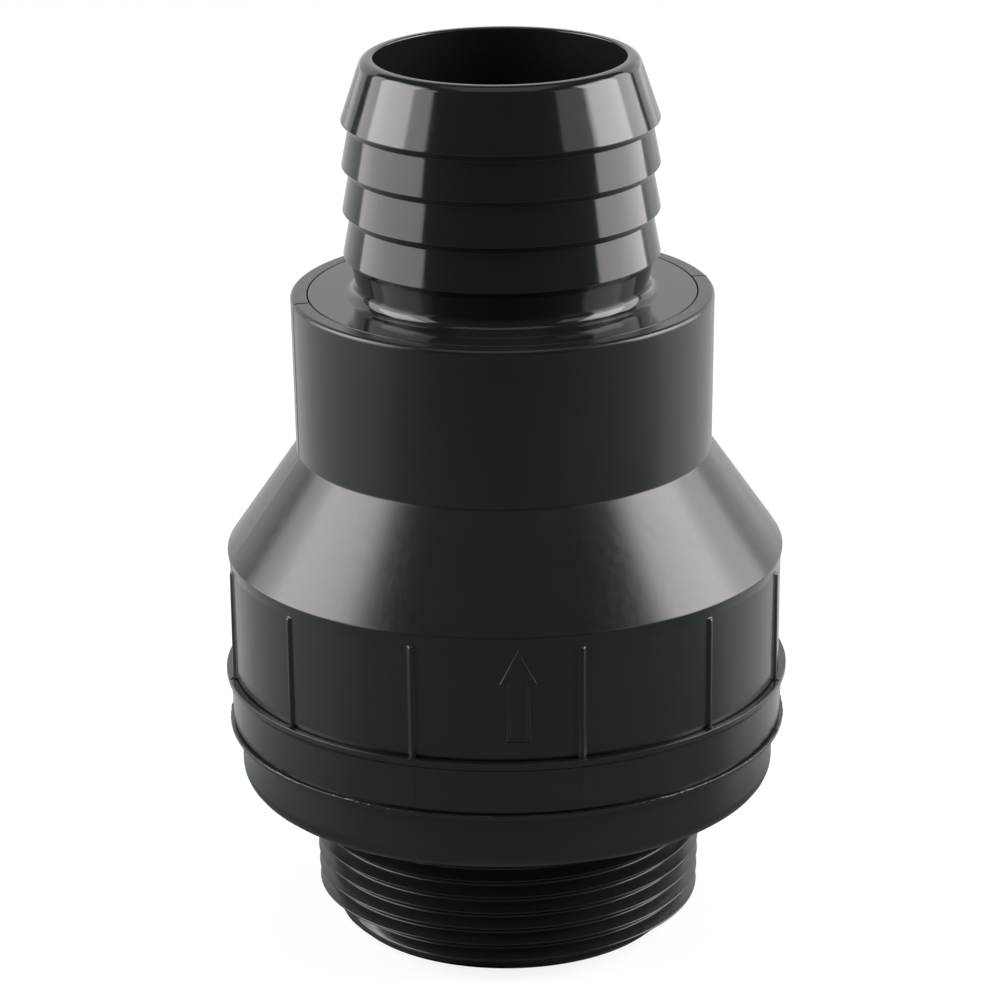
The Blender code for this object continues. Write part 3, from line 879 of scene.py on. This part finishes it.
def heel_outline():
    wall_y = math.sqrt(CHAMBER_R**2 - HEEL_HALF_WIDTH**2)
    corner_r = math.hypot(HEEL_LENGTH, HEEL_HALF_THICK)
    at_wall = math.acos((wall_y - SEAM - PIVOT_Y) / corner_r)
    lean = math.radians(OPEN_ANGLE) + at_wall + math.atan(HEEL_HALF_THICK / HEEL_LENGTH)
    foot = Vector((PIVOT_Y, PIVOT_Z))
    tip = foot + Vector((math.cos(lean), math.sin(lean))) * HEEL_LENGTH
    across = Vector((-math.sin(lean), math.cos(lean))) * HEEL_HALF_THICK
    return [foot - across, tip - across, tip + across, foot + across]


def make_flapper_arm():
    low, high = LEVELS["arm"]
    disc = rounded([(HOLE_R, high, 0), (ARM_DISC_R, high, 0.5), (ARM_DISC_R, low, 0.3), (HOLE_R, low, 0)])
    bar_top = low + ARM_THICK
    start = BALLAST_R + SEAM
    bar = [(start, low), (PIVOT_Y, low), (PIVOT_Y, PIVOT_Z), (PIVOT_Y - EYE_R / 2, bar_top), (start, bar_top)]
    eye_x = LUG_INNER_X - SEAM
    bore_r = PIN_R + 0.12
    eye = [(bore_r, eye_x, 0.15), (EYE_R, eye_x, 0.3), (EYE_R, -eye_x, 0.3), (bore_r, -eye_x, 0.15)]
    parts = [
        tube(supported(disc, longest=3.0), 3.0),
        along_x(tube(supported(rounded(eye), longest=3.0), 7.5), PIVOT_Y, PIVOT_Z),
    ]
    parts.append(box_prism(bar, -ARM_HALF_WIDTH, ARM_HALF_WIDTH, 0.3))
    lean = heel_outline()
    clear = Vector((PIVOT_Y, PIVOT_Z)) + (lean[1] + lean[2] - lean[0] - lean[3]).normalized() * (bore_r + 0.35)
    shift = clear - (lean[0] + lean[3]) / 2
    heel = [lean[0] + shift, lean[1], lean[2], lean[3] + shift]
    parts.append(box_prism(heel, -HEEL_HALF_WIDTH, HEEL_HALF_WIDTH, 0.35))
    at_eye = PIVOT_Y - EYE_R
    web = [
        (start, high - 0.3),
        (at_eye + 0.3, high - 0.3),
        (at_eye + 0.8, PIVOT_Z + 0.4),
        (start, bar_top - 0.2),
    ]
    for side in (-1, 1):
        parts.append(box_prism(web, side * WEB_X - WEB_HALF, side * WEB_X + WEB_HALF, 0.2))
    mesh = shaded(joined("flapper_arm_moulding", parts))
    return new_piece("flapper_arm_moulding", mesh, white_acetal, "flapper", ["flapper_arm"])


def make_seal():
    low, high = LEVELS["seal"]
    corners = [
        (HOLE_R, high, 0),
        (ARM_DISC_R + 0.9, high, 0.2),
        (ARM_DISC_R + 1.1, high - 0.25, 0.2),
        (SEAL_R - 0.1, high - 0.25, 0.6),
        (SEAL_R - 0.1, (low + high) / 2 + 0.12, 0),
        (SEAL_R, (low + high) / 2 + 0.05, 0),
        (SEAL_R, (low + high) / 2 - 0.05, 0),
        (SEAL_R - 0.1, (low + high) / 2 - 0.12, 0),
        (SEAL_R - 0.1, low, 0.6),
        (PORT_R + 1.6, low, 0.2),
        (PORT_R + 1.4, low + 0.15, 0.15),
        (PORT_R + 0.6, low + 0.15, 0.15),
        (PORT_R + 0.4, low, 0.2),
        (HOLE_R, low, 0),
    ]
    mesh = turned("rubber_seal", rounded(corners, 4), around(2.0))
    return new_piece("rubber_seal", mesh, rubber_black, "flapper", ["seal_disc"])


def make_ballast():
    low, high = LEVELS["ballast"]
    corners = [
        (HOLE_R, high - 0.15, 0.1),
        (HOLE_R + 0.15, high, 0.05),
        (BALLAST_R, high, 0.45),
        (BALLAST_R, low, 0.3),
        (HOLE_R, low, 0.1),
    ]
    mesh = turned("ballast_turned", rounded(corners, 4), around(2.5))
    return new_piece("ballast_turned", mesh, brass, "flapper", ["ballast_disc"])


def make_washer():
    low, high = LEVELS["washer"]
    corners = [(HOLE_R, high, 0.1), (WASHER_R, high, 0.12), (WASHER_R, low, 0.4), (HOLE_R, low, 0.15)]
    mesh = turned("washer_stamped", rounded(corners, 4), around(3.0))
    return new_piece("washer_stamped", mesh, steel, "flapper", ["clamp_washer"])


def screw_thread(work, radius, low, high):
    """A machine thread as a helical grid with its two ends closed on the axis."""
    shares = [(0.0, 0.0), (0.08, 0.0), (0.40, 1.0), (0.60, 1.0), (0.92, 0.0)]
    turns = math.ceil((high - low) / SCREW_PITCH) + 1
    rows = [(turn + share, cut) for turn in range(-1, turns) for share, cut in shares]
    columns = []
    for angle in around(10.0):
        turn = math.radians(angle)
        column = []
        for pitches, cut in rows:
            level = min(max(low + (pitches + angle / 360) * SCREW_PITCH, low), high)
            out = radius - SCREW_THREAD_DEPTH * cut
            out = min(out, radius - 0.9 * max(0.0, level - high + 0.45))
            column.append(on_circle(work, out, turn, level))
        columns.append(column)
    join_helix(work, columns, len(shares))
    for level, end in ((low, 0), (high, -1)):
        hub = work.verts.new((0, 0, level))
        rim = [work.verts.new((column[end].co.x, column[end].co.y, level)) for column in columns]
        for index, vert in enumerate(rim):
            work.faces.new((hub, vert, rim[(index + 1) % len(rim)]))


def make_screw():
    head_low, head_high = LEVELS["head"]
    tip = LEVELS["nut"][1] + SCREW_PAST_NUT
    hexagon = SOCKET_ACROSS / math.sqrt(3)
    angles = around(5.0)
    work = bmesh.new()
    head = rounded(
        [
            (SCREW_R, head_high, 0),
            (SCREW_HEAD_R, head_high, 0.15),
            (SCREW_HEAD_R, head_low + 1.3, 0.5),
            (SCREW_HEAD_R - 1.7, head_low, 0.7),
            (hexagon + SOCKET_CHAMFER, head_low, 0.1),
        ]
    )
    outside = head[: -(FILLET_STEPS + 1)] + [Vector((hexagon + SOCKET_CHAMFER, head_low))]
    turned_into(work, supported(outside, closed=False), angles, closed=False)
    inner = []
    for depth in (head_low, head_low + 0.15, head_low + SOCKET_DEPTH):
        ring = []
        for angle in angles:
            flat = hexagon * math.cos(math.radians(30)) / math.cos(math.radians((angle % 60) - 30))
            radius = hexagon + SOCKET_CHAMFER if depth == head_low else flat
            ring.append(on_circle(work, radius, math.radians(angle), depth))
        inner.append(ring)
    join_rings(work, inner, closed_row=False)
    floor = work.verts.new((0, 0, head_low + SOCKET_DEPTH + 0.2))
    for index, vert in enumerate(inner[-1]):
        work.faces.new((vert, inner[-1][(index + 1) % len(inner[-1])], floor))
    cap = work.verts.new((0, 0, head_high))
    rim = [on_circle(work, SCREW_R, math.radians(angle), head_high) for angle in angles]
    for index, vert in enumerate(rim):
        work.faces.new((vert, rim[(index + 1) % len(rim)], cap))
    bmesh.ops.remove_doubles(work, verts=work.verts, dist=0.0005)
    shank = bmesh.new()
    screw_thread(shank, SCREW_R, head_high - 0.05, tip)
    bmesh.ops.remove_doubles(shank, verts=shank.verts, dist=0.0005)
    for part in (work, shank):
        bmesh.ops.dissolve_degenerate(part, edges=part.edges, dist=0.0005)
        bmesh.ops.recalc_face_normals(part, faces=part.faces)
    mesh = shaded(joined("button_head_screw", [work, shank]), 32.0)
    return new_piece("button_head_screw", mesh, steel, "flapper", ["clamp_screw"])


def make_lock_washer():
    """Split spring washer: a square section on a flat helix, with its two cut ends apart."""
    low, high = LEVELS["lock_washer"]
    inner = HOLE_R
    outer = LOCK_WASHER_R
    edge = 0.08
    thick = high - low - LOCK_WASHER_RISE
    work = bmesh.new()
    section = [
        (inner + edge, 0),
        (outer - edge, 0),
        (outer, edge),
        (outer, thick - edge),
        (outer - edge, thick),
        (inner + edge, thick),
        (inner, thick - edge),
        (inner, edge),
    ]
    rings = []
    steps = 90
    for step in range(steps + 1):
        share = step / steps
        turn = math.radians(185 + 350 * share)
        foot = low + LOCK_WASHER_RISE * share
        rings.append([on_circle(work, r, turn, foot + z) for r, z in section])
    join_rings(work, rings, closed_row=False)
    work.faces.new(rings[0])
    work.faces.new(list(reversed(rings[-1])))
    mesh = closed_up(work, "split_lock_washer")
    return new_piece("split_lock_washer", mesh, steel, "flapper", ["spring_washer"])


def make_nut():
    """Hexagon nut whose corners are cut by a chamfer cone at both ends."""
    low, high = LEVELS["nut"]
    flat = NUT_ACROSS / 2
    angles = around(2.5, fine=[(centre, (0, 0.6)) for centre in range(30, 390, 60)])
    bore = SCREW_R + 0.12
    work = bmesh.new()
    foot = [("bore", low), ("cone", low), ("side", low), ("side", low + 0.9)]
    top = [("side", high - 0.9), ("side", high), ("cone", high), ("bore", high)]
    profile = foot + top
    columns = []
    for angle in angles:
        turn = math.radians(angle)
        corner = flat / math.cos(math.radians(((angle + 30) % 60) - 30))
        cut = max(0.0, corner - flat) * 0.62
        column = []
        for kind, level in profile:
            if kind == "bore":
                radius = bore
            elif kind == "cone":
                radius = flat - 0.12
            else:
                radius = corner
                if level == low:
                    level = low + cut
                elif level == high:
                    level = high - cut
            column.append(on_circle(work, radius, turn, level))
        columns.append(column)
    join_rings(work, columns)
    mesh = closed_up(work, "hex_nut")
    return new_piece("hex_nut", mesh, steel, "flapper", ["lock_nut"])


make_hose_tail()
make_outlet_housing()
make_flow_arrow()
make_weld_flash()
make_inlet_housing()
make_hinge_lugs()
make_hinge_pin()
make_push_nut("push_nut_left", -1, "pin_clip_left")
make_push_nut("push_nut_right", 1, "pin_clip_right")
make_flapper_arm()
make_seal()
make_ballast()
make_washer()
make_screw()
make_lock_washer()
make_nut()


# Camera, lights and floor

CAMERA_AZIMUTH = 2.0
CAMERA_ELEVATION = 19.22
CAMERA_DISTANCE = 499.7
CAMERA_AIM_Z = 55.24
CAMERA_LENS = 142.5
CAMERA_SENSOR = 36.0
CAMERA_SHIFT = -0.0046
CAMERA_ROLL = -0.6

# Lamps and floor, in metres
LAMP_AIM_Z = 0.05
LAMP_COLOUR = (1.0, 0.975, 0.955)
ROOM_COLOUR = (0.070, 0.083, 0.082)
BACKDROP_COLOUR = (0.98, 0.98, 0.98)
PAPER_COLOUR = (0.19, 0.22, 0.217)
FLOOR_HALF = 3.0
FLOOR_Z = -0.0001
FLOOR_WHITE = 0.86

# Painted reflection light: what the floor adds in reflections only, strength by depth, 0 in front to 1 behind,
# and where it starts; nearer the object it fades out as painted shadow
FLOOR_PAINTED_GLOW_START = 0.06
FLOOR_PAINTED_GLOW_FULL = 0.09
FLOOR_PAINTED_GLOW_LEFT = [(0.18, 0.0), (0.30, 0.18), (0.50, 0.28), (0.72, 0.45), (0.85, 0.65)]
FLOOR_PAINTED_GLOW_RIGHT = [(0.43, 0.0), (0.56, 0.5), (0.65, 0.5), (0.80, 0.62)]


def make_camera():
    azimuth = math.radians(CAMERA_AZIMUTH)
    elevation = math.radians(CAMERA_ELEVATION)
    distance = CAMERA_DISTANCE * MM
    target = Vector((0, 0, CAMERA_AIM_Z * MM))
    back = Vector(
        (
            math.sin(azimuth) * math.cos(elevation),
            -math.cos(azimuth) * math.cos(elevation),
            math.sin(elevation),
        )
    )
    data = bpy.data.cameras.new("camera")
    data.lens = CAMERA_LENS
    data.sensor_width = CAMERA_SENSOR
    data.shift_x = CAMERA_SHIFT
    camera = bpy.data.objects.new("camera", data)
    bpy.context.scene.collection.objects.link(camera)
    camera.location = target + back * distance
    roll = Quaternion((0, 0, 1), math.radians(CAMERA_ROLL))
    camera.rotation_mode = "QUATERNION"
    camera.rotation_quaternion = (-back).to_track_quat("-Z", "Y") @ roll
    bpy.context.scene.camera = camera


def softbox(name, azimuth, elevation, distance, width, height, radiance):
    """An area lamp that faces the object's middle, out of the camera's sight."""
    data = bpy.data.lights.new(name, "AREA")
    data.shape = "RECTANGLE"
    data.size = width
    data.size_y = height
    data.energy = radiance * math.pi * width * height
    data.color = LAMP_COLOUR
    lamp = bpy.data.objects.new(name, data)
    bpy.context.scene.collection.objects.link(lamp)
    turn = math.radians(azimuth)
    lift = math.radians(elevation)
    back = Vector((math.sin(turn) * math.cos(lift), -math.cos(turn) * math.cos(lift), math.sin(lift)))
    lamp.location = Vector((0, 0, LAMP_AIM_Z)) + back * distance
    lamp.rotation_mode = "QUATERNION"
    lamp.rotation_quaternion = (-back).to_track_quat("-Z", "Y")
    lamp.visible_camera = False


def make_world():
    world = bpy.data.worlds.new("studio")
    world.use_nodes = True
    bpy.context.scene.world = world
    tree = world.node_tree
    plain = tree.nodes["Background"]
    plain.inputs["Color"].default_value = (*ROOM_COLOUR, 1)
    plain.inputs["Strength"].default_value = 1.0
    white = node(tree, "ShaderNodeBackground")
    white.inputs["Color"].default_value = (*BACKDROP_COLOUR, 1)
    white.inputs["Strength"].default_value = 1.0
    path = node(tree, "ShaderNodeLightPath")
    mix = node(tree, "ShaderNodeMixShader")
    tree.links.new(path.outputs["Is Camera Ray"], mix.inputs["Fac"])
    tree.links.new(plain.outputs["Background"], mix.inputs[1])
    tree.links.new(white.outputs["Background"], mix.inputs[2])
    tree.links.new(mix.outputs["Shader"], tree.nodes["World Output"].inputs["Surface"])


def make_floor():
    mesh = bpy.data.meshes.new("floor")
    corners = [(x * FLOOR_HALF, y * FLOOR_HALF, FLOOR_Z) for x, y in ((-1, -1), (1, -1), (1, 1), (-1, 1))]
    mesh.from_pydata(corners, [], [(0, 1, 2, 3)])
    floor = bpy.data.objects.new("floor", mesh)
    bpy.context.scene.collection.objects.link(floor)
    made = bpy.data.materials.new("pale_paper_painted_glow")
    made.use_nodes = True
    tree = made.node_tree
    tree.nodes.remove(tree.nodes["Principled BSDF"])
    paper = node(tree, "ShaderNodeBsdfDiffuse")
    paper.inputs["Color"].default_value = (*PAPER_COLOUR, 1)
    glow = node(tree, "ShaderNodeEmission")
    glow.inputs["Color"].default_value = (1, 1, 1, 1)
    path = node(tree, "ShaderNodeLightPath")
    seen = node(tree, "ShaderNodeMath", operation="MAXIMUM")
    tree.links.new(path.outputs["Is Camera Ray"], seen.inputs[0])
    tree.links.new(path.outputs["Is Transmission Ray"], seen.inputs[1])
    plain = node(tree, "ShaderNodeMath", operation="MULTIPLY")
    plain.inputs[1].default_value = FLOOR_WHITE
    tree.links.new(seen.outputs["Value"], plain.inputs[0])
    # Painted reflection light: glossy rays see the floor glow, brighter behind and at the sides than in front,
    # by bearing from the object
    place = node(tree, "ShaderNodeTexCoord")
    bearing = node(tree, "ShaderNodeVectorMath", operation="NORMALIZE")
    tree.links.new(place.outputs["Object"], bearing.inputs[0])
    parts = node(tree, "ShaderNodeSeparateXYZ")
    tree.links.new(bearing.outputs["Vector"], parts.inputs[0])
    depth = node(tree, "ShaderNodeMath", operation="MULTIPLY_ADD")
    depth.inputs[1].default_value = 0.5
    depth.inputs[2].default_value = 0.5
    tree.links.new(parts.outputs["Y"], depth.inputs[0])
    left = ramp(tree, depth.outputs["Value"], FLOOR_PAINTED_GLOW_LEFT)
    right = ramp(tree, depth.outputs["Value"], FLOOR_PAINTED_GLOW_RIGHT)
    painted_sheen = node(tree, "ShaderNodeMix", data_type="FLOAT")
    side = node(tree, "ShaderNodeMath", operation="GREATER_THAN")
    side.inputs[1].default_value = 0.0
    tree.links.new(parts.outputs["X"], side.inputs[0])
    tree.links.new(side.outputs["Value"], painted_sheen.inputs[0])
    tree.links.new(left, painted_sheen.inputs[2])
    tree.links.new(right, painted_sheen.inputs[3])
    # Painted shadow in reflections: the glow fades out near the object
    reach = node(tree, "ShaderNodeVectorMath", operation="LENGTH")
    tree.links.new(place.outputs["Object"], reach.inputs[0])
    clear = node(tree, "ShaderNodeMapRange")
    clear.inputs["From Min"].default_value = FLOOR_PAINTED_GLOW_START
    clear.inputs["From Max"].default_value = FLOOR_PAINTED_GLOW_FULL
    tree.links.new(reach.outputs["Value"], clear.inputs["Value"])
    lit = node(tree, "ShaderNodeMath", operation="MULTIPLY")
    tree.links.new(clear.outputs["Result"], lit.inputs[0])
    tree.links.new(path.outputs["Is Glossy Ray"], lit.inputs[1])
    strength = node(tree, "ShaderNodeMath", operation="MULTIPLY_ADD")
    tree.links.new(painted_sheen.outputs[0], strength.inputs[0])
    tree.links.new(lit.outputs["Value"], strength.inputs[1])
    tree.links.new(plain.outputs["Value"], strength.inputs[2])
    tree.links.new(strength.outputs["Value"], glow.inputs["Strength"])
    both = node(tree, "ShaderNodeAddShader")
    tree.links.new(paper.outputs["BSDF"], both.inputs[0])
    tree.links.new(glow.outputs["Emission"], both.inputs[1])
    tree.links.new(both.outputs["Shader"], tree.nodes["Material Output"].inputs["Surface"])
    mesh.materials.append(made)


make_camera()
softbox("softbox_left", -88, 14, 0.55, 0.69, 0.52, 3.0)
softbox("softbox_left_core", -89, 29, 0.52, 0.32, 0.34, 4.0)
softbox("softbox_right", 101, 14, 0.55, 0.56, 0.52, 3.8)
softbox("softbox_right_core", 92, 29, 0.52, 0.30, 0.34, 4.2)
softbox("softbox_right_spill", 61, 25, 0.60, 0.26, 0.24, 1.0)
softbox("softbox_right_rear", 148, 8, 0.60, 0.30, 0.30, 0.25)
softbox("softbox_top", 0, 80, 0.9, 0.8, 0.8, 0.6)
softbox("backdrop", 182, 14, 1.1, 2.4, 1.0, 0.85)
make_world()
make_floor()
bpy.context.scene.view_settings.view_transform = "Standard"
